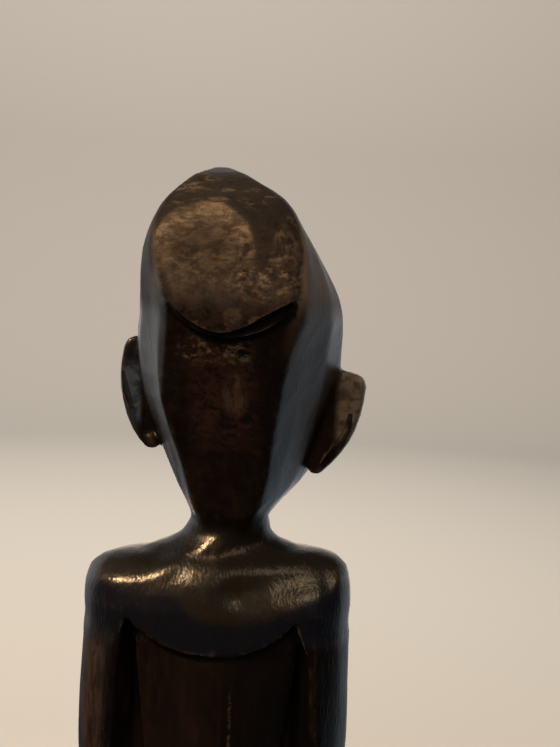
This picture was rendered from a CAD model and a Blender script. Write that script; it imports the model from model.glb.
import math

import bpy
import numpy as np
from mathutils import Euler, Matrix, Vector


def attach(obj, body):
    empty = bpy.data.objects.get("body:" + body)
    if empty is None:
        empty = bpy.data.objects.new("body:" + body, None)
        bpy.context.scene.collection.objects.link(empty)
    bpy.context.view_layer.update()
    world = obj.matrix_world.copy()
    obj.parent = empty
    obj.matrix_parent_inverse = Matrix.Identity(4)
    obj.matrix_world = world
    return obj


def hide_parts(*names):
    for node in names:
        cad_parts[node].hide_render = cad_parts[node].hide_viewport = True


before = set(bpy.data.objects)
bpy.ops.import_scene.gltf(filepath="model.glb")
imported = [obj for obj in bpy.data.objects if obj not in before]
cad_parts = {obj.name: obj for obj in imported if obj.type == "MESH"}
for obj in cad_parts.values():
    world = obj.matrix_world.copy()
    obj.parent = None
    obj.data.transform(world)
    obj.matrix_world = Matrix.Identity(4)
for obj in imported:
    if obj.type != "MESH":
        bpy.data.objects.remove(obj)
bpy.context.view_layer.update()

bl_info = {
    "name": "Carved wooden figure",
    "version": (1, 0, 0),
    "blender": (4, 5, 0),
    "location": "3D View > Sidebar > Carving",
    "description": "Finishes a standing figure carved from one block of dark waxed wood",
    "category": "Object",
}

NODE = "figure"
PIECE = "carved_figure"
MM = 0.001

# The head's own axes: the neck stands off the middle and the head is turned
NECK_X = -5.5
HEAD_TURN = math.radians(-6)
# The middle of the face on those axes, and the middle of the body
FACE_X = -2
BODY_X = -1.5

# Lips in X and Z, in millimetres: the cap's on the head's own axes
CAP_LIP = ((20.5, 438.7), (-4.5, 425.6), (-30.5, 441.2))
BACK_LIP = ((37.5, 298), (-5.5, 282.4), (-37.5, 298.5))
# How far the cap's lip is cut back above the blank's: place across the head, height
LIP_RISE = (
    (-30.5, 0.6), (-27, 2.4), (-20, 4.3), (-11, 3.6), (-2, 2), (8, 1.2), (14, 1), (17.5, 1.2), (20.5, 0.6))
# Radius of the gouge that undercuts the cap's lip: share of its length from the left, radius
LIP_GOUGE = (
    (0.07, 0.5), (0.18, 2.1), (0.3, 1.9), (0.5, 2.1), (0.66, 2.4), (0.8, 3.1), (0.93, 3.0), (1, 1.6))
# How far the dark nook reaches down below each lip: place across, height
CAP_NOOK = (
    (-32, 7), (-28, 8.4), (-20, 8.8), (-12, 6.4), (-2, 5.6), (8, 5), (14, 5), (18, 6), (21, 5.5), (22.5, 3))
BACK_NOOK = ((-38, 7), (-5, 3), (37, 7))
HAIRLINE = ((33, 434), (-2, 449), (-37, 434))
# Edges of the flat back of the cap and of the nape on the head's own axes: height, left edge, right edge
CAP_EDGES = (
    (424, 20.5, -30.5), (432, 21.5, -31), (439, 22.5, -32), (447, 25.4, -33.8), (462, 30.2, -33.2),
    (475, 31.2, -29), (485, 27.6, -20.8), (493, 21.5, -7), (499, 15, 4))
NAPE_EDGES = (
    (340, 9, -12), (352, 11, -14), (371, 17, -20), (384, 23.7, -21), (398, 26.5, -23.4), (409, 25, -24.3),
    (425, 23, -26.4), (441, 20.5, -30.5))
# An edge that stands out this far, or a hollow this deep, counts in full
FULL_EDGE = 0.7

# The camera: place in metres, angles, and focal length in millimetres on a sensor 36 mm wide
CAMERA_PLACE = (-0.026, 0.440, 0.446)
CAMERA_DOWN = math.radians(5)
CAMERA_ROLL = math.radians(2.6)
CAMERA_LENS = 45.93


# Properties: the sizes and colours that a user would change

class CarvingSizes(bpy.types.PropertyGroup):
    voxel: bpy.props.FloatProperty(
        name="Form grain", description="Size of the cells that the rounded form is built from",
        default=0.9 * MM, unit="LENGTH", precision=5)
    easing: bpy.props.IntProperty(
        name="Easing", description="How far the flat places are rubbed smooth", default=22, min=1)
    edge_easing: bpy.props.IntProperty(
        name="Edge easing", description="How far the crisp edges are rubbed", default=2, min=0)
    tool_mark: bpy.props.FloatProperty(
        name="Tool mark depth", description="Depth of the long shallow marks of the knife",
        default=0.32 * MM, unit="LENGTH", precision=5)
    tool_mark_width: bpy.props.FloatProperty(
        name="Tool mark width", description="Width of one mark of the knife",
        default=9 * MM, unit="LENGTH", precision=4)
    triangles: bpy.props.IntProperty(
        name="Triangles", description="Triangles that the finished figure keeps",
        default=188000, min=1000)


class WoodFinish(bpy.types.PropertyGroup):
    stain: bpy.props.StringProperty(
        name="Stain", description="Nearly black stain in the low places, sRGB hex", default="#080605")
    umber: bpy.props.StringProperty(
        name="Umber", description="Brown of the stained wood, sRGB hex", default="#150d08")
    red: bpy.props.StringProperty(
        name="Red brown", description="Red brown where the stain is thin, sRGB hex", default="#251610")
    dusk: bpy.props.StringProperty(
        name="Dusk brown", description="Dull brown of the cap, sRGB hex", default="#241c18")
    ash: bpy.props.StringProperty(
        name="Grey brown", description="Top of the cap, sRGB hex", default="#1e1b19")
    worn: bpy.props.StringProperty(
        name="Worn wood", description="Bare wood where hands have worn the stain, sRGB hex",
        default="#574939")
    olive: bpy.props.StringProperty(
        name="Olive brown", description="Top of the shoulders, sRGB hex", default="#17150f")
    blue: bpy.props.StringProperty(
        name="Blue black", description="Old wax on the shoulder blades, sRGB hex", default="#0b0c13")
    bloom: bpy.props.StringProperty(
        name="Wax bloom", description="Pale old wax on the left ear and the left of the head, sRGB hex",
        default="#39414b")
    rim: bpy.props.StringProperty(
        name="Worn edge", description="Rubbed edges, sRGB hex", default="#48382a")
    streak_width: bpy.props.FloatProperty(
        name="Streak width", description="Width of one fibre streak", default=0.6 * MM,
        unit="LENGTH", precision=5)
    streak_length: bpy.props.FloatProperty(
        name="Streak length", description="Length of one fibre streak", default=2.4 * MM,
        unit="LENGTH", precision=4)


class StudioSizes(bpy.types.PropertyGroup):
    floor_radius: bpy.props.FloatProperty(
        name="Floor radius", description="Radius of the round floor", default=2.4, unit="LENGTH")
    key: bpy.props.FloatProperty(
        name="Key light", description="Power of the small warm light from the left", default=23.0,
        subtype="POWER")
    side: bpy.props.FloatProperty(
        name="Side light", description="Power of the small light above the camera, on the right",
        default=4.0, subtype="POWER")
    fill: bpy.props.FloatProperty(
        name="Fill light", description="Power of the broad light behind the camera",
        default=30.0, subtype="POWER")
    wall: bpy.props.FloatProperty(
        name="Wall lights", description="Power of each of the two lights on the wall",
        default=118.0, subtype="POWER")
    sky: bpy.props.FloatProperty(
        name="Room light", description="Strength of the light of the room", default=1.0)


# Small helpers

def linear(hex_colour):
    """An sRGB hex colour as linear red, green, blue and alpha."""
    parts = [int(hex_colour[i:i + 2], 16) / 255 for i in (1, 3, 5)]
    return [c / 12.92 if c <= 0.04045 else ((c + 0.055) / 1.055) ** 2.4 for c in parts] + [1.0]


def deselect_all():
    if bpy.context.object and bpy.context.object.mode != "OBJECT":
        bpy.ops.object.mode_set(mode="OBJECT")
    bpy.ops.object.select_all(action="DESELECT")


def make_active(piece):
    deselect_all()
    piece.select_set(True)
    bpy.context.view_layer.objects.active = piece


def apply_modifier(piece, kind, **settings):
    """Adds one modifier with its settings and applies it."""
    make_active(piece)
    modifier = piece.modifiers.new(kind.lower(), kind)
    for name, value in settings.items():
        setattr(modifier, name, value)
    bpy.ops.object.modifier_apply(modifier=modifier.name)


def places(piece):
    """Every vertex of a piece in millimetres, one row each."""
    flat = np.empty(len(piece.data.vertices) * 3, np.float32)
    piece.data.vertices.foreach_get("co", flat)
    return flat.reshape(-1, 3) / MM


def on_head(points):
    """Points in millimetres turned back to the head's own axes."""
    x = points[:, 0] - NECK_X
    y = points[:, 1]
    turned = points.copy()
    turned[:, 0] = x * math.cos(HEAD_TURN) + y * math.sin(HEAD_TURN)
    turned[:, 1] = y * math.cos(HEAD_TURN) - x * math.sin(HEAD_TURN)
    return turned


def head_matrix():
    return Matrix.Translation((NECK_X * MM, 0, 0)) @ Matrix.Rotation(HEAD_TURN, 4, "Z")


def lip_points(lip, count=60):
    """Points in X and Z along a U-shaped lip."""
    left, middle, right = (np.array(p, float) for p in lip)
    sink = np.array([middle[0], 2 * middle[1] - (left[1] + right[1]) / 2])
    first = (left + 2 * sink) / 3
    last = (right + 2 * sink) / 3
    t = np.linspace(0, 1, count)[:, None]
    start = (1 - t) ** 3 * left + 3 * (1 - t) ** 2 * t * first
    return start + 3 * (1 - t) * t ** 2 * last + t ** 3 * right


def cap_lip(count=60):
    """Points in X and Z along the cap's lip, on the head's own axes."""
    line = lip_points(CAP_LIP, count)
    line[:, 1] += np.interp(line[:, 0], *np.array(LIP_RISE).T)
    return line


def distance_to(line, x, z):
    """The distance in X and Z from every point to the nearest point of a line."""
    best = np.full(len(x), 1e9, np.float32)
    for px, pz in line:
        np.minimum(best, (x - px) ** 2 + (z - pz) ** 2, out=best)
    return np.sqrt(best)


def fade(value, low, high):
    """0 below low, 1 above high, smooth between."""
    t = np.clip((value - low) / (high - low), 0, 1)
    return t * t * (3 - 2 * t)


def stands_out(piece, rounds=8):
    """How far each vertex stands out of its surroundings in millimetres, less than 0 in a hollow."""
    mesh = piece.data
    count = len(mesh.vertices)
    ends = np.empty(len(mesh.edges) * 2, np.int32)
    mesh.edges.foreach_get("vertices", ends)
    a, b = ends[::2], ends[1::2]
    normal = np.empty(count * 3, np.float32)
    mesh.vertex_normals.foreach_get("vector", normal)
    here = places(piece).astype(np.float64)
    degree = np.bincount(a, minlength=count) + np.bincount(b, minlength=count)
    around = here.copy()
    for _ in range(rounds):
        total = np.stack([
            np.bincount(a, around[b, k], count) + np.bincount(b, around[a, k], count)
            for k in range(3)], 1)
        around = 0.5 * around + 0.5 * total / degree[:, None]
    return ((here - around) * normal.reshape(-1, 3)).sum(1)


def weigh(piece, name, weights, levels=10):
    """A vertex group from one weight a vertex."""
    group = piece.vertex_groups.new(name=name)
    level = np.round(weights * levels).astype(int)
    for i in range(1, levels + 1):
        chosen = np.flatnonzero(level == i)
        if len(chosen):
            group.add(chosen.tolist(), i / levels, "REPLACE")
    return name


def ball(place, radii, turn=(0, 0, 0), head=True):
    """A ball squashed to three radii in millimetres and turned, on the head's axes or the body's."""
    deselect_all()
    bpy.ops.mesh.primitive_uv_sphere_add(segments=40, ring_count=24, radius=1)
    made = bpy.context.object
    size = Matrix.Diagonal((*[r * MM for r in radii], 1))
    turned = Euler([math.radians(a) for a in turn]).to_matrix().to_4x4()
    made.matrix_world = Matrix.Translation([p * MM for p in place]) @ turned @ size
    if head:
        made.matrix_world = head_matrix() @ made.matrix_world
    bpy.ops.object.transform_apply(location=True, rotation=True, scale=True)
    return made


def tube(points, radii):
    """A round bar through points in millimetres, thick or thin along its length."""
    deselect_all()
    bpy.ops.curve.primitive_nurbs_path_add()
    made = bpy.context.object
    line = made.data
    line.splines.clear()
    spline = line.splines.new("POLY")
    spline.points.add(len(points) - 1)
    for point, place, radius in zip(spline.points, points, radii):
        point.co = (*[c * MM for c in place], 1)
        point.radius = radius
    line.bevel_depth = MM
    line.bevel_resolution = 5
    line.use_fill_caps = True
    bpy.ops.object.convert(target="MESH")
    bpy.ops.object.mode_set(mode="EDIT")
    bpy.ops.mesh.select_all(action="SELECT")
    bpy.ops.mesh.remove_doubles(threshold=0.001 * MM)
    bpy.ops.mesh.normals_make_consistent(inside=False)
    bpy.ops.object.mode_set(mode="OBJECT")
    return bpy.context.object


def meet(piece, start, ahead):
    """Where a line from a place in millimetres first meets the piece."""
    hit, place, _, _ = piece.ray_cast([c * MM for c in start], ahead)
    if not hit:
        raise RuntimeError("nothing of the figure lies there")
    return place / MM


def surface_behind(piece, x, z):
    """How far back the head's surface lies at a place on the head's own axes, in millimetres."""
    turn = head_matrix()
    start = turn @ (Vector((x, 100, z)) * MM)
    place = meet(piece, start / MM, turn.to_3x3() @ Vector((0, -1, 0)))
    return (turn.inverted() @ (place * MM)).y / MM


def shape_with(piece, tool, operation):
    """Joins a tool's shape to the piece, or cuts it out, and drops the tool."""
    before = len(piece.data.vertices)
    apply_modifier(piece, "BOOLEAN", object=tool, operation=operation, solver="MANIFOLD")
    bpy.data.objects.remove(tool, do_unlink=True)
    if len(piece.data.vertices) in {0, before}:
        raise RuntimeError("a cut left nothing of the piece, or all of it")


def carved():
    piece = bpy.data.objects.get(PIECE)
    if piece is None:
        raise RuntimeError("the figure is roughed out first")
    return piece


# Operators

class CARVING_OT_rough_out(bpy.types.Operator):
    """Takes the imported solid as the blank, merged into one closed skin"""
    bl_idname = "carving.rough_out"
    bl_label = "Rough out the figure"

    def execute(self, context):
        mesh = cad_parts[NODE].data.copy()
        mesh.materials.clear()
        piece = bpy.data.objects.new(PIECE, mesh)
        context.scene.collection.objects.link(piece)
        make_active(piece)
        bpy.ops.object.mode_set(mode="EDIT")
        bpy.ops.mesh.select_all(action="SELECT")
        bpy.ops.mesh.remove_doubles(threshold=0.01 * MM)
        bpy.ops.object.mode_set(mode="OBJECT")
        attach(piece, "root")
        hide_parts(NODE)
        return {"FINISHED"}


class CARVING_OT_face(bpy.types.Operator):
    """Rounds the nose, lips, eyelids and brows over the blank's plain ones"""
    bl_idname = "carving.face"
    bl_label = "Carve the face"

    def execute(self, context):
        piece = carved()
        x = FACE_X
        raised = [
            ball((x, -53, 395.6), (5.6, 5.2, 5.4)),
            ball((x, -44, 374.2), (11, 8.5, 3.7)),
            ball((x, -41, 355.5), (11, 6, 6)),
        ]
        for side in (-1, 1):
            raised.append(ball((x + side * 5.8, -49.2, 394.2), (4.6, 5.4, 4.2)))
            raised.append(ball((x + side * 4.8, -44, 379.6), (9, 8.7, 3.5), (0, side * 9, 0)))
            raised.append(ball((x + side * 16.5, -38.6, 418.2), (9.4, 5.7, 4.9), (0, 0, side * 14)))
            raised.append(ball((x + side * 16.5, -40.2, 429.2), (13, 4, 2.2), (0, side * 7, side * 15)))
        for tool in raised:
            shape_with(piece, tool, "UNION")
        return {"FINISHED"}


class CARVING_OT_ears(bpy.types.Operator):
    """Hollows each ear in front, and rounds the left one's tip onto the jaw"""
    bl_idname = "carving.ears"
    bl_label = "Carve the ears"

    def execute(self, context):
        piece = carved()
        # left ear: higher, its top leaning in; right ear: lower
        shape_with(piece, ball((49.8, -0.6, 401), (4.4, 2.3, 16), (0, 4, 14)), "DIFFERENCE")
        shape_with(piece, ball((-54, -0.9, 388.7), (4.7, 2.3, 16.5), (0, -18, -14)), "DIFFERENCE")
        shape_with(piece, ball((38.6, 0.3, 373.2), (4.8, 2.7, 4)), "UNION")
        return {"FINISHED"}


class CARVING_OT_hands_and_feet(bpy.types.Operator):
    """Parts the fingers and the toes, and lays a thumb along each hand"""
    bl_idname = "carving.hands_and_feet"
    bl_label = "Carve the hands and feet"

    def execute(self, context):
        piece = carved()
        for side in (-1, 1):
            thumb = ball((BODY_X + side * 50.5, -17, 164), (4.4, 4.2, 12.5), (-10, 0, 0), head=False)
            shape_with(piece, thumb, "UNION")
            for y in (-8, -3.5, 1):
                place = meet(piece, (side * 200, y, 152), (-side, 0, 0))
                groove = ball(place, (1.5, 0.7, 10), (0, side * 14, 0), head=False)
                shape_with(piece, groove, "DIFFERENCE")
            for x, y in ((16.5, -36), (21, -37.5), (25.7, -37.3), (30.5, -35.5)):
                groove = ball((side * x, y, 31), (0.75, 8.5, 6.5), (18, 0, 0), head=False)
                shape_with(piece, groove, "DIFFERENCE")
        return {"FINISHED"}


class CARVING_OT_smooth(bpy.types.Operator):
    """Rubs the form smooth, less at the lips, the face, the ears and the grooves"""
    bl_idname = "carving.smooth"
    bl_label = "Rub the form smooth"

    def execute(self, context):
        piece = carved()
        sizes = context.scene.carving_sizes
        apply_modifier(piece, "REMESH", mode="VOXEL", voxel_size=sizes.voxel, adaptivity=0)
        apply_modifier(piece, "SMOOTH", factor=0.5, iterations=sizes.edge_easing)
        body = places(piece)
        head = on_head(body)
        soft = 1 - 0.85 * fade(np.abs(stands_out(piece)), 0.12, 0.4)

        def keep_crisp(where, weight):
            np.minimum(soft, 1 - (1 - weight) * where, out=soft)

        near_hair = 1 - fade(distance_to(lip_points(HAIRLINE), head[:, 0], head[:, 2]), 1.5, 4)
        keep_crisp(near_hair * fade(-head[:, 1], 20, 26), 0.15)
        face = fade(-head[:, 1], 34, 40) * fade(head[:, 2], 362, 370) * (1 - fade(head[:, 2], 430, 437))
        keep_crisp(face * (1 - fade(np.abs(head[:, 0] - FACE_X), 27, 33)), 0.2)
        toes = (1 - fade(body[:, 2], 38, 42)) * fade(-body[:, 1], 10, 16)
        keep_crisp(toes, 0.25)
        hands = (1 - fade(body[:, 2], 172, 178)) * fade(body[:, 2], 120, 126)
        keep_crisp(hands * fade(np.abs(body[:, 0]), 42, 45), 0.25)
        ear_tips = fade(np.abs(head[:, 0]), 32, 35) * fade(head[:, 2], 358, 362)
        keep_crisp(ear_tips * (1 - fade(head[:, 2], 384, 390)), 0.1)
        group = weigh(piece, "rubbed", soft)
        apply_modifier(piece, "SMOOTH", factor=0.5, iterations=sizes.easing, vertex_group=group)
        piece.vertex_groups.clear()
        return {"FINISHED"}


class CARVING_OT_shoulder_blades(bpy.types.Operator):
    """Shapes the back of the shoulders: full on the left, with a valley and a lower ridge on the right"""
    bl_idname = "carving.shoulder_blades"
    bl_label = "Shape the shoulder blades"

    def execute(self, context):
        piece = carved()
        body = places(piece)
        x, y, z = body.T

        def hump(value, middle, reach):
            return np.exp(-((value - middle) / reach) ** 2)

        crest = np.interp(x, (2, 8, 14, 23, 31, 50), (330, 327.5, 325, 319.5, 315.8, 313))
        ridge = np.interp(x, (14, 31), (1.9, 1.3)) * fade(x, -10, 4) * hump(z, crest, 4.5)
        low = np.interp(x, (-48, -30, -14), (317, 314, 311))
        hollow = 2.5 * fade(4 - x, 0, 16) * hump(z, low, 7)
        valley = hump(x, -14, 9) * hump(z, 308, 12)
        neck_foot = 1.9 * (1 - fade(x, 4, 34)) * fade(x, -30, -6) * hump(z, 320.5, 9.5)
        moved = ridge + neck_foot - hollow - valley
        body[:, 1] += moved * fade(y, 5, 13) * fade(z, 284, 292) * fade(58 - np.abs(x), 0, 8)
        piece.data.vertices.foreach_set("co", (body * MM).astype(np.float32).ravel())
        piece.data.update()
        return {"FINISHED"}


class CARVING_OT_gouge(bpy.types.Operator):
    """Undercuts the cap's lip, deepest at its corners, and gouges the backs of the ears"""
    bl_idname = "carving.gouge"
    bl_label = "Undercut and gouge"

    def execute(self, context):
        piece = carved()
        share = np.linspace(0.07, 1, 42)
        radii = np.interp(share, *np.array(LIP_GOUGE).T)
        line = cap_lip(45)[3:]
        on_cap = [surface_behind(piece, x, z + 1.5) for x, z in line]
        line[:, 1] -= radii
        self.gouge(piece, line, radii, on_cap, 0.2)
        for line, radii, sink in (
                (((-54, 391.5), (-53, 384.3), (-50.2, 377.4), (-46.3, 371.5), (-41.9, 366.2)),
                 (1.1, 2.2, 2.9, 2.7, 1.4), -0.5),
                (((52, 405.4), (50, 396.3), (47.2, 388)), (1, 2.5, 1.4), -0.6)):
            self.gouge(piece, line, radii, [surface_behind(piece, x, z) for x, z in line], sink)
        return {"FINISHED"}

    def gouge(self, piece, line, radii, surface, sink):
        """Cuts a round groove along points on the back of the head, sunk by a share of its radius."""
        points = [(x, y - sink * radius, z) for (x, z), radius, y in zip(line, radii, surface)]
        cut = tube(points, radii)
        cut.matrix_world = head_matrix()
        shape_with(piece, cut, "DIFFERENCE")


class CARVING_OT_sharp_cuts(bpy.types.Operator):
    """Cuts what stays sharp on the face: the eyes, the mouth and the nostrils"""
    bl_idname = "carving.sharp_cuts"
    bl_label = "Make the sharp cuts"

    def execute(self, context):
        piece = carved()
        x = FACE_X
        cuts = [ball((x, -52.3, 377.1), (11.5, 3.4, 0.7))]
        for side in (-1, 1):
            cuts.append(ball((x + side * 16.7, -44.6, 417.6), (7.6, 2.4, 0.75), (0, side * 3, side * 14)))
            cuts.append(ball((x + side * 3.6, -52.5, 390.4), (1.9, 2.8, 2)))
        for tool in cuts:
            shape_with(piece, tool, "DIFFERENCE")
        return {"FINISHED"}


class CARVING_OT_wear(bpy.types.Operator):
    """Leaves the knife's long shallow marks, thins the skin and measures edges and hollows"""
    bl_idname = "carving.wear"
    bl_label = "Tool marks and wear"

    def execute(self, context):
        piece = carved()
        sizes = context.scene.carving_sizes
        bpy.ops.object.empty_add()
        grain = context.object
        grain.scale = (1, 1, 3.2)
        marks = bpy.data.textures.new("tool_marks", "VORONOI")
        marks.noise_scale = sizes.tool_mark_width
        marks.distance_metric = "DISTANCE_SQUARED"
        apply_modifier(
            piece, "DISPLACE", texture=marks, texture_coords="OBJECT", texture_coords_object=grain,
            strength=sizes.tool_mark, mid_level=0.4)
        bpy.data.objects.remove(grain, do_unlink=True)
        piece.data.calc_loop_triangles()
        share = sizes.triangles / len(piece.data.loop_triangles)
        if share < 1:
            apply_modifier(piece, "DECIMATE", ratio=share)
        self.measure_edges(piece)
        make_active(piece)
        bpy.ops.object.shade_smooth_by_angle(angle=math.radians(38))
        return {"FINISHED"}

    def measure_edges(self, piece):
        """Stores how far each point stands out or lies deep, and on which part of the back it is."""
        height = stands_out(piece) / FULL_EDGE
        body = places(piece)
        head = on_head(body)
        above_lip = self.below_lip(head, cap_lip()) < 0
        values = {
            "edge": height,
            "hollow": -height,
            "under_lip": self.under_lips(body),
            "cap": self.between_edges(head, CAP_EDGES, 14) * above_lip,
            "nape": self.between_edges(head, NAPE_EDGES, 14) * ~above_lip,
            "yoke": self.yoke(body),
        }
        for name, value in values.items():
            stored = piece.data.attributes.new(name, "FLOAT", "POINT")
            stored.data.foreach_set("value", np.clip(value, 0, 1).astype(np.float32))

    def below_lip(self, points, lip):
        across, height = lip[::-1].T
        return np.interp(points[:, 0], across, height) - points[:, 2]

    def yoke(self, body):
        """1 on the back of the shoulders, above the lip of the back."""
        x, y, z = body.T
        lip = fade(-self.below_lip(body, lip_points(BACK_LIP)), -0.3, 0.5)
        sides = fade(np.abs(x + 1), 37, 39)
        lowest = fade(z, 284, 291)
        return (lip * (1 - sides) + lowest * sides) * fade(y, 4, 10) * (1 - fade(z, 334, 342))

    def between_edges(self, points, edges, least_y):
        """1 between the left and the right edge of a facet on the back of the head, and 0 outside."""
        height, left, right = np.array(edges, float).T
        x, y, z = points.T
        from_left = np.interp(z, height, left) - x
        from_right = x - np.interp(z, height, right)
        inside = fade(from_left, -0.5, 0.9) * fade(from_right, -0.5, 0.9)
        return inside * fade(y, least_y, least_y + 3) * fade(z, height[0] - 2, height[0])

    def under_lips(self, body):
        """How far each point lies in the nook under either lip: 1 right under it, 0 clear of it."""
        total = np.zeros(len(body))
        for points, lip, reach, first, second in (
                (on_head(body), cap_lip(), CAP_NOOK, 18, 24),
                (body, lip_points(BACK_LIP), BACK_NOOK, 8, 14)):
            below = self.below_lip(points, lip)
            deep = np.interp(points[:, 0], *np.array(reach, float).T)
            inside = (points[:, 0] > lip[-1][0] - 1.5) & (points[:, 0] < lip[0][0] + 1.5)
            nook = fade(below, -0.6, 0.4) * (1 - fade(below / deep, 0.82, 1.1)) * inside
            total = np.maximum(total, nook * fade(points[:, 1], first, second))
        return total


def add_node(tree, kind, links=None, **settings):
    """Adds one node, with its settings by name and its inputs as values, shares or other nodes' outputs."""
    node = tree.nodes.new(kind)
    for name, value in settings.items():
        setattr(node, name, value)
    for name, value in (links or {}).items():
        socket = node.inputs[name]
        if isinstance(value, Share):
            value = value.socket
        if isinstance(value, bpy.types.NodeSocket):
            tree.links.new(value, socket)
        else:
            socket.default_value = value
    return node


class Share:
    """A number that varies from place to place. Sums, products and steps of shares become nodes."""

    def __init__(self, tree, socket):
        self.tree = tree
        self.socket = socket

    def through(self, kind, links, **settings):
        """The share that comes out of a new node."""
        return Share(self.tree, add_node(self.tree, kind, links, **settings).outputs[0])

    def __add__(self, other):
        return self.through("ShaderNodeMath", {0: self, 1: other}, operation="ADD")

    def __sub__(self, other):
        return self.through("ShaderNodeMath", {0: self, 1: other}, operation="SUBTRACT")

    def __rsub__(self, other):
        return self.through("ShaderNodeMath", {0: other, 1: self}, operation="SUBTRACT")

    def __mul__(self, other):
        return self.through("ShaderNodeMath", {0: self, 1: other}, operation="MULTIPLY")

    def __truediv__(self, other):
        return self.through("ShaderNodeMath", {0: self, 1: other}, operation="DIVIDE")

    __radd__ = __add__
    __rmul__ = __mul__

    def larger(self, other):
        return self.through("ShaderNodeMath", {0: self, 1: other}, operation="MAXIMUM")

    def held(self):
        """Kept between 0 and 1."""
        return self.through("ShaderNodeMath", {0: self, 1: 0.0}, operation="ADD", use_clamp=True)

    def rise(self, low, high):
        """0 below low, 1 above high, smooth between."""
        return self.through(
            "ShaderNodeMapRange", {"Value": self, "From Min": low, "From Max": high},
            interpolation_type="SMOOTHSTEP")

    def ramp(self, low, high):
        """A rise between two places in millimetres."""
        return self.rise(low * MM, high * MM)

    def between(self, low, high, soft):
        """1 between two places in millimetres, with soft ends."""
        return self.ramp(low - soft, low + soft) * self.ramp(high + soft, high - soft)

    def mix(self, under, over):
        """One colour where the share is 0 and another where it is 1."""
        node = add_node(
            self.tree, "ShaderNodeMix", {"Factor": self, "A": under, "B": over}, data_type="RGBA")
        return node.outputs[2]


def split(tree, place):
    """X, Y and Z of a place, as shares."""
    return [Share(tree, part) for part in add_node(tree, "ShaderNodeSeparateXYZ", {0: place}).outputs]


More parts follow.
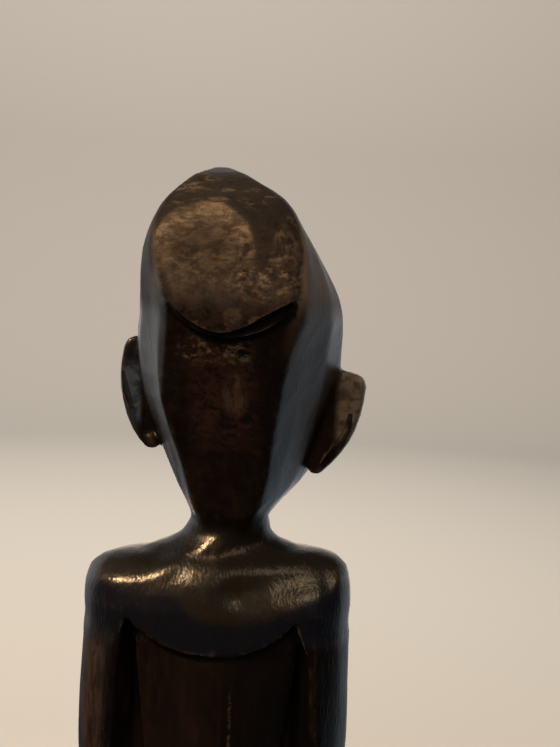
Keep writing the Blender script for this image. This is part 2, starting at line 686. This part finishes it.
class WaxedWood:
    """Hardwood, stained nearly black and waxed: a soft gloss over fine fibres, brown where it is worn."""

    COLOURS = ("stain", "umber", "red", "dusk", "ash", "worn", "olive", "blue", "bloom", "rim")
    MEASURED = ("edge", "hollow", "under_lip", "cap", "nape", "yoke")

    def __init__(self, finish):
        self.finish = finish
        self.material = bpy.data.materials.new("waxed_stained_hardwood")
        self.material.use_nodes = True
        self.tree = self.material.node_tree
        self.tree.nodes.clear()
        for name in self.COLOURS:
            setattr(self, name, linear(getattr(finish, name)))
        for name in self.MEASURED:
            node = add_node(self.tree, "ShaderNodeAttribute", attribute_name=name)
            setattr(self, name, Share(self.tree, node.outputs["Fac"]))

        # places on the body's axes and on the head's own
        self.place = add_node(self.tree, "ShaderNodeTexCoord").outputs["Object"]
        self.x, self.y, self.z = split(self.tree, self.place)
        off_neck = (-NECK_X * MM * math.cos(HEAD_TURN), NECK_X * MM * math.sin(HEAD_TURN), 0)
        on_head_axes = add_node(
            self.tree, "ShaderNodeMapping",
            {"Vector": self.place, "Location": off_neck, "Rotation": (0, 0, -HEAD_TURN)})
        self.across, self.behind, self.up = split(self.tree, on_head_axes.outputs[0])

        # grain, from the broadest to the finest; fibres run up the figure
        self.blotch = self.noise((24, 24, 52), 4, 0.6, 0.6)
        self.redness = self.noise((15, 15, 26), 4, 0.6, 0.8)
        self.mottle = self.noise((6, 6, 4.5), 5, 0.7, 0.5)
        self.fine = self.noise((3.2, 3.2, 13), 5, 0.65, 0.3)
        self.level = self.noise((8, 8, 1.7), 4, 0.65, 0.5)
        self.fleck = self.noise((3.4, 4, 2.2), 4, 0.62, 0.2)
        self.patch = self.noise((7, 7, 4.5), 4, 0.65, 0.4)

        # the first coat of stain, thinner in blotches
        self.colour = self.blotch.rise(0.38, 0.64).mix(self.stain, self.umber)

    def noise(self, size, detail, rough, warp):
        """Noise with a grain of so many millimetres along X, Y and Z."""
        spread = add_node(
            self.tree, "ShaderNodeMapping",
            {"Vector": self.place, "Scale": [1 / (s * MM) for s in size]})
        node = add_node(
            self.tree, "ShaderNodeTexNoise",
            {"Vector": spread.outputs[0], "Scale": 1.0, "Detail": detail, "Roughness": rough,
             "Distortion": warp})
        return Share(self.tree, node.outputs["Fac"])

    def oval(self, middle, reach, ragged):
        """Grows from 0 in the middle of an oval on the back of the head to 1 at its edge."""
        total = (self.mottle - 0.5) * ragged
        for value, centre, radius in zip((self.across, self.up), middle, reach):
            away = (value - centre * MM) / (radius * MM)
            total = total + away * away
        return total

    def paint(self, share, colour):
        self.colour = share.mix(self.colour, colour)

    def body(self):
        """Red brown in streaks, and nearly black on the back panel right of the spine."""
        streaks = self.redness.rise(0.42, 0.66) * self.fine.rise(0.3, 0.66)
        self.paint(streaks * 0.38, self.red)
        self.trunk = self.z.between(120, 296, 6) * self.y.ramp(10, 18) * (1 - self.yoke)
        right_half = self.x.between(-42, -6.5, 0.8)
        self.paint(self.trunk * (0.25 + right_half * 0.5), self.stain)

    def shoulders(self):
        """Olive above a ridge that drops to the right, blue black below it."""
        ridge = 309 - 12.5 * self.x.ramp(21, 3) + 12.5 * self.x.ramp(-14, -58) + 4 * self.patch
        self.above_ridge = self.z - ridge * MM
        self.paint(self.yoke * 0.85, self.olive)
        self.paint(self.yoke * self.z.ramp(316, 323) * 0.5, self.stain)
        below_ridge = self.above_ridge.ramp(2.5, -2.5)
        self.paint(self.yoke * below_ridge * (0.55 + self.mottle * 0.6), self.blue)

    def back_of_neck(self):
        """Red brown in the middle, with dark patches, and flecked below the cap's lip."""
        self.paint(self.nape * self.patch.rise(0.58, 0.42) * 0.6, self.stain)
        middle = self.up.between(378, 428, 7) * self.across.between(-15, 13, 5)
        reddish = self.nape * middle * self.mottle.rise(0.36, 0.58)
        self.paint(reddish * (0.55 + self.patch.rise(0.42, 0.56) * 0.4), self.red)
        paler = (1 - self.oval((-6, 401), (6, 11), 1.6).rise(0.3, 1.2)) * self.fine.rise(0.34, 0.62)
        below_lip = self.up.between(415, 425, 3) * self.across.between(-13, 17, 3)
        flecks = below_lip * self.fleck.rise(0.48, 0.66)
        self.paint(self.nape * (paler * 0.2 + flecks * 0.6), self.worn)

    def back_of_cap(self):
        """Dull brown, worn below an arc, brightest along it and mottled lower down."""
        cap, up, fleck, patch = self.cap, self.up, self.fleck, self.patch
        self.paint(cap * self.mottle.rise(0.3, 0.6) * 0.85, self.dusk)
        self.paint(cap * up.ramp(470, 480) * 0.85, self.ash)
        arc = self.oval((9.5, 458), (23.5, 24.5), 0.45)
        self.paint(cap * arc.rise(0.98, 1.2) * up.between(464, 483, 5) * 0.45, self.stain)
        inside = (1 - arc.rise(0.84, 1.03)) * up.ramp(440, 455)
        crest = arc.rise(0.0, 0.92) * up.ramp(455, 470)
        band = inside * (0.17 + crest * 1.35) * (0.5 + self.level.rise(0.36, 0.62) * 0.5)
        band = band * (0.3 + patch.rise(0.36, 0.58) * 0.7) * (0.5 + self.mottle.rise(0.36, 0.58) * 0.5)
        lower = (1 - self.oval((-17, 448), (19, 8), 2.4).rise(0.2, 1.0)) * fleck.rise(0.4, 0.8) * 0.6
        dashes = up.between(447, 460, 3) * fleck.rise(0.48, 0.68) * 0.35
        right_edge = self.across.between(-30, -20, 2) * up.between(446, 476, 6)
        fibres = right_edge * self.fine.rise(0.44, 0.62) * 0.3
        spot = (1 - self.oval((-6.5, 435), (4, 5), 5.0).rise(0.2, 1.2)) * 0.3
        top = up.ramp(477, 483) * self.level.rise(0.5, 0.62) * patch.rise(0.46, 0.58) * 0.42
        self.bare = (cap * (band + lower + dashes + fibres + spot + top)).held()
        self.paint(self.bare, self.worn)
        self.paint(cap * fleck.rise(0.44, 0.32) * 0.6, self.stain)
        self.paint(cap * up.between(438, 464, 5) * patch.rise(0.54, 0.4) * 0.65, self.stain)

    def sides_of_head(self):
        """Rubbed on the right beside the cap, with pale old wax on the left."""
        beside = (1 - self.nape) * (1 - self.cap)
        right = self.across.ramp(-25, -33) * self.behind.ramp(2, 14) * beside * (0.2 + self.fine * 0.5)
        upper = 0.35 + self.up.ramp(430, 446) * 0.6
        self.paint(right * self.up.between(340, 482, 6) * upper, self.worn)
        left = self.across.between(22, 30, 2) * self.behind.ramp(2, 12) * beside
        self.paint(left * self.up.between(376, 452, 6) * (0.2 + self.patch * 0.6), self.bloom)

    def ears(self):
        """The left one blue black with a pale bloom along its middle, the right one rubbed."""
        left = self.across.ramp(42.5, 45) * self.z.between(368, 422, 4)
        self.paint(left * 0.8, self.blue)
        streaky = 0.3 + self.patch.rise(0.38, 0.6) * 0.7
        self.paint(left * self.z.between(381, 409, 4) * streaky * 0.75, self.bloom)
        right = self.across.ramp(-46, -50) * self.z.between(362, 414, 4) * self.behind.ramp(1, 4)
        self.paint(right * (0.25 + self.patch.rise(0.36, 0.58) * 0.55), self.worn)

    def spine_and_arms(self):
        """Worn along the spine and outside on the left arm, dark on the right arm and its shoulder."""
        x, y, z = self.x, self.y, self.z
        spine = x.between(-10.8, -9.6, 0.5) * z.between(236, 264, 8) * self.fleck.rise(0.42, 0.62)
        self.paint(self.trunk * spine * 0.35, self.worn)
        self.right_arm = x.ramp(-37, -39.5) * y.ramp(0, 6) * z.ramp(140, 160) * z.ramp(322, 300)
        self.right_arm = self.right_arm * (1 - self.yoke)
        self.paint(self.right_arm * 0.9, self.stain)
        self.corner = self.yoke * x.ramp(-46, -50) * z.ramp(319, 311)
        self.paint(self.corner * 0.8, self.blue)
        self.rubbed_arm = x.ramp(46, 50) * x.ramp(62, 58) * y.ramp(10, 14) * z.between(190, 284, 6)
        self.paint(self.rubbed_arm * (0.25 + self.patch.rise(0.38, 0.6) * 0.3), self.red)
        self.paint(self.rubbed_arm * self.fine.rise(0.34, 0.66) * 0.2, self.worn)

    def edges_and_hollows(self):
        """Edges rubbed pale, and stain gathered in the hollows and under the lips."""
        self.paint(self.edge.rise(0.12, 0.6) * self.fine.rise(0.34, 0.6) * 0.6, self.rim)
        self.paint(self.hollow.rise(0.1, 0.6) * 0.8, self.stain)
        self.paint(self.under_lip * 0.92, self.stain)

    def roughness(self):
        """Wax: an even gloss, duller on the cap and in the hollows."""
        grain = self.fine * 0.16 + self.patch * 0.1
        cap = self.behind.ramp(10, 24) * self.up.ramp(432, 442) * 0.22 + self.bare * 0.1
        hollows = self.hollow * 0.2 + self.under_lip * 0.3
        return 0.2 + grain + cap + hollows + self.rubbed_arm * 0.15 - self.yoke * 0.07

    def polish(self):
        """Wax is worn thin on the cap, the shoulders, the jaw and the arms, and thin under the lips."""
        x, y, z = self.x, self.y, self.z
        jaw = self.across.ramp(17, 23) * self.up.between(344, 386, 8) * self.behind.ramp(-6, 6)
        left_slope = z.ramp(317, 321) * x.ramp(22, 30)
        right_slope = z.ramp(314, 319) * x.ramp(0, -6)
        slope = left_slope.larger(right_slope).larger(self.above_ridge.ramp(2, -3) * 0.7)
        left_arm = x.ramp(46, 50) * z.between(150, 290, 25) * y.ramp(0, 6)
        thin = self.cap * 0.36
        for worn_place, depth in (
                (self.yoke * slope, 0.38), (left_arm, 0.38), (self.right_arm, 0.38),
                (self.corner, 0.38), (jaw, 0.4), (self.under_lip, 0.42)):
            thin = thin.larger(worn_place * depth)
        return 0.5 - thin + self.yoke * 0.15

    def relief(self):
        """Fibres stand up as short slanted streaks, upright on the body and level on the cap."""
        width, length = (0.5 / size for size in (self.finish.streak_width, self.finish.streak_length))
        lean = add_node(
            self.tree, "ShaderNodeMapping",
            {"Vector": self.place, "Rotation": (math.radians(4), math.radians(9), 0),
             "Scale": (width, width, length)})
        streak = add_node(
            self.tree, "ShaderNodeTexNoise",
            {"Vector": lean.outputs[0], "Scale": 1.0, "Detail": 2.0, "Roughness": 0.5})
        fibres = add_node(
            self.tree, "ShaderNodeMix",
            {"Factor": self.bare, "A": streak.outputs["Fac"], "B": self.level}, data_type="FLOAT")
        strength = 0.6 - self.z.ramp(335, 350) * 0.35 + self.yoke * 0.05
        bump = add_node(
            self.tree, "ShaderNodeBump",
            {"Height": fibres.outputs[0], "Strength": strength, "Distance": 0.3 * MM})
        bump = add_node(
            self.tree, "ShaderNodeBump",
            {"Height": self.fine, "Strength": 0.4 - self.yoke * 0.25, "Distance": 0.4 * MM,
             "Normal": bump.outputs[0]})
        return bump.outputs[0]

    def finished(self):
        """Lays the colours one over another, and gives the material."""
        self.body()
        self.shoulders()
        self.back_of_neck()
        self.back_of_cap()
        self.sides_of_head()
        self.ears()
        self.spine_and_arms()
        self.edges_and_hollows()
        shader = add_node(
            self.tree, "ShaderNodeBsdfPrincipled",
            {"Base Color": self.colour, "Roughness": self.roughness(), "Normal": self.relief(),
             "Specular IOR Level": self.polish(), "IOR": 1.5, "Metallic": 0.0})
        add_node(self.tree, "ShaderNodeOutputMaterial", {"Surface": shader.outputs[0]})
        return self.material


class CARVING_OT_finish_wood(bpy.types.Operator):
    """Stains and waxes the figure"""
    bl_idname = "carving.finish_wood"
    bl_label = "Stain and wax"

    def execute(self, context):
        piece = carved()
        piece.data.materials.clear()
        piece.data.materials.append(WaxedWood(context.scene.wood_finish).finished())
        return {"FINISHED"}


class CARVING_OT_studio(bpy.types.Operator):
    """Sets the pale floor, the soft lights and the camera behind the figure"""
    bl_idname = "carving.studio"
    bl_label = "Set the studio"

    def execute(self, context):
        sizes = context.scene.studio_sizes
        self.floor(sizes.floor_radius)
        self.light("key", (0.9, 0.72, 1.31), (0, 0, 0.35), (0.4, 0.14), sizes.key, "#ffd19a")
        self.light("side", (-0.81, 1.16, 1.46), (0, 0, 0.35), (0.5, 0.5), sizes.side, "#ffdcb0")
        soft = [
            self.light("fill", (0.5, 1.9, 1.0), (0, 0, 0.35), (1.2, 1.2), sizes.fill, "#fff2e0"),
            self.light("wall_far", (0.3, -0.7, 2.3), (0, -3.0, 0.6), (1.4, 1.4), sizes.wall, "#fff2e2"),
            self.light("wall_near", (0, 0.9, 2.3), (0, 3.2, 0.9), (1.4, 1.4), sizes.wall, "#fff4e4"),
        ]
        for lamp in soft:
            lamp.visible_glossy = False
        self.room(context, sizes.sky)
        self.camera(context)
        context.scene.view_settings.view_transform = "Standard"
        return {"FINISHED"}

    def floor(self, radius):
        """A round floor whose rim curves up into a pale wall far away."""
        deselect_all()
        bpy.ops.mesh.primitive_circle_add(vertices=128, radius=radius, fill_type="NGON")
        floor = bpy.context.object
        floor.name = "floor"
        bpy.ops.object.mode_set(mode="EDIT")
        bpy.ops.mesh.select_mode(type="EDGE")
        bpy.ops.mesh.select_all(action="SELECT")
        turn_up = 1.0
        wall_height = 1.4
        steps = 12
        reach = radius
        height = 0.0
        for i in range(1, steps + 1):
            angle = math.radians(90 * i / steps)
            wider = radius + turn_up * math.sin(angle)
            higher = turn_up * (1 - math.cos(angle))
            bpy.ops.mesh.extrude_edges_move(TRANSFORM_OT_translate={"value": (0, 0, higher - height)})
            bpy.ops.transform.resize(value=(wider / reach, wider / reach, 1))
            reach = wider
            height = higher
        bpy.ops.mesh.extrude_edges_move(TRANSFORM_OT_translate={"value": (0, 0, wall_height)})
        bpy.ops.object.mode_set(mode="OBJECT")
        bpy.ops.object.shade_smooth()
        floor.visible_glossy = False
        floor.visible_diffuse = False
        # rolled matt wall paint: an even pale grey with hardly any shine
        material = bpy.data.materials.new("matt_wall_paint")
        material.use_nodes = True
        shader = material.node_tree.nodes["Principled BSDF"]
        shader.inputs["Base Color"].default_value = linear("#a5a5a4")
        shader.inputs["Roughness"].default_value = 0.95
        shader.inputs["Specular IOR Level"].default_value = 0.2
        floor.data.materials.append(material)

    def light(self, name, place, target, size, power, colour):
        lamp = bpy.data.lights.new(name, "AREA")
        lamp.shape = "RECTANGLE"
        lamp.size, lamp.size_y = size
        lamp.energy = power
        lamp.color = linear(colour)[:3]
        made = bpy.data.objects.new(name, lamp)
        bpy.context.scene.collection.objects.link(made)
        made.location = place
        made.rotation_euler = (Vector(target) - Vector(place)).to_track_quat("-Z", "Y").to_euler()
        return made

    def room(self, context, strength):
        """The light of the room: a bright wall with a window before the figure, dark behind it."""
        world = bpy.data.worlds.new("room")
        context.scene.world = world
        world.use_nodes = True
        tree = world.node_tree
        tree.nodes.clear()
        x, y, z = split(tree, add_node(tree, "ShaderNodeTexCoord").outputs["Generated"])
        low = x.rise(-0.3, 0.3).mix(linear("#a9b8c4"), linear("#4c5054"))
        wall = x.rise(-0.7, 0.5).mix(linear("#dbdfe0"), linear("#cfd0d2"))
        wall = z.rise(-0.55, -0.05).mix(low, wall)
        colour = y.rise(0.3, -0.5).mix(linear("#10141b"), wall)
        colour = z.rise(0.3, 0.75).mix(colour, linear("#474541"))
        window = x.rise(-0.36, -0.2) * x.rise(0.36, 0.2) * y.rise(0, -0.5)
        window = window * z.rise(0.36, 0.2) * z.rise(-0.45, -0.3)
        daylight = [2.4 * c for c in linear("#ffe8d0")]
        colour = window.mix(colour, daylight)
        background = add_node(tree, "ShaderNodeBackground", {"Color": colour, "Strength": strength})
        add_node(tree, "ShaderNodeOutputWorld", {"Surface": background.outputs[0]})

    def camera(self, context):
        """Behind the figure at the height of its brow, tipped down and rolled a little."""
        lens = bpy.data.cameras.new("camera")
        lens.sensor_width = 36
        lens.lens = CAMERA_LENS
        made = bpy.data.objects.new("camera", lens)
        context.scene.collection.objects.link(made)
        forward = Vector((0, -math.cos(CAMERA_DOWN), -math.sin(CAMERA_DOWN)))
        right = Vector((-1, 0, 0))
        up = right.cross(forward)
        rolled_right = right * math.cos(CAMERA_ROLL) + up * math.sin(CAMERA_ROLL)
        rolled_up = up * math.cos(CAMERA_ROLL) - right * math.sin(CAMERA_ROLL)
        turn = Matrix((rolled_right, rolled_up, -forward)).transposed()
        made.matrix_world = Matrix.Translation(CAMERA_PLACE) @ turn.to_4x4()
        context.scene.camera = made


class CARVING_PT_panel(bpy.types.Panel):
    """Lists the steps in order"""
    bl_label = "Carved figure"
    bl_space_type = "VIEW_3D"
    bl_region_type = "UI"
    bl_category = "Carving"

    def draw(self, context):
        for step_class in STEPS:
            self.layout.operator(step_class.bl_idname)
        for group in (context.scene.carving_sizes, context.scene.wood_finish, context.scene.studio_sizes):
            for name in group.bl_rna.properties.keys():
                if name not in {"rna_type", "name"}:
                    self.layout.prop(group, name)


STEPS = (
    CARVING_OT_rough_out,
    CARVING_OT_face,
    CARVING_OT_ears,
    CARVING_OT_hands_and_feet,
    CARVING_OT_smooth,
    CARVING_OT_shoulder_blades,
    CARVING_OT_gouge,
    CARVING_OT_sharp_cuts,
    CARVING_OT_wear,
    CARVING_OT_finish_wood,
    CARVING_OT_studio,
)
CLASSES = (CarvingSizes, WoodFinish, StudioSizes, *STEPS, CARVING_PT_panel)


def register():
    for made in CLASSES:
        bpy.utils.register_class(made)
    bpy.types.Scene.carving_sizes = bpy.props.PointerProperty(type=CarvingSizes)
    bpy.types.Scene.wood_finish = bpy.props.PointerProperty(type=WoodFinish)
    bpy.types.Scene.studio_sizes = bpy.props.PointerProperty(type=StudioSizes)


def unregister():
    del bpy.types.Scene.studio_sizes
    del bpy.types.Scene.wood_finish
    del bpy.types.Scene.carving_sizes
    for made in reversed(CLASSES):
        bpy.utils.unregister_class(made)


def main():
    register()
    for step_class in STEPS:
        group, name = step_class.bl_idname.split(".")
        getattr(getattr(bpy.ops, group), name)()


if __name__ == "__main__":
    main()
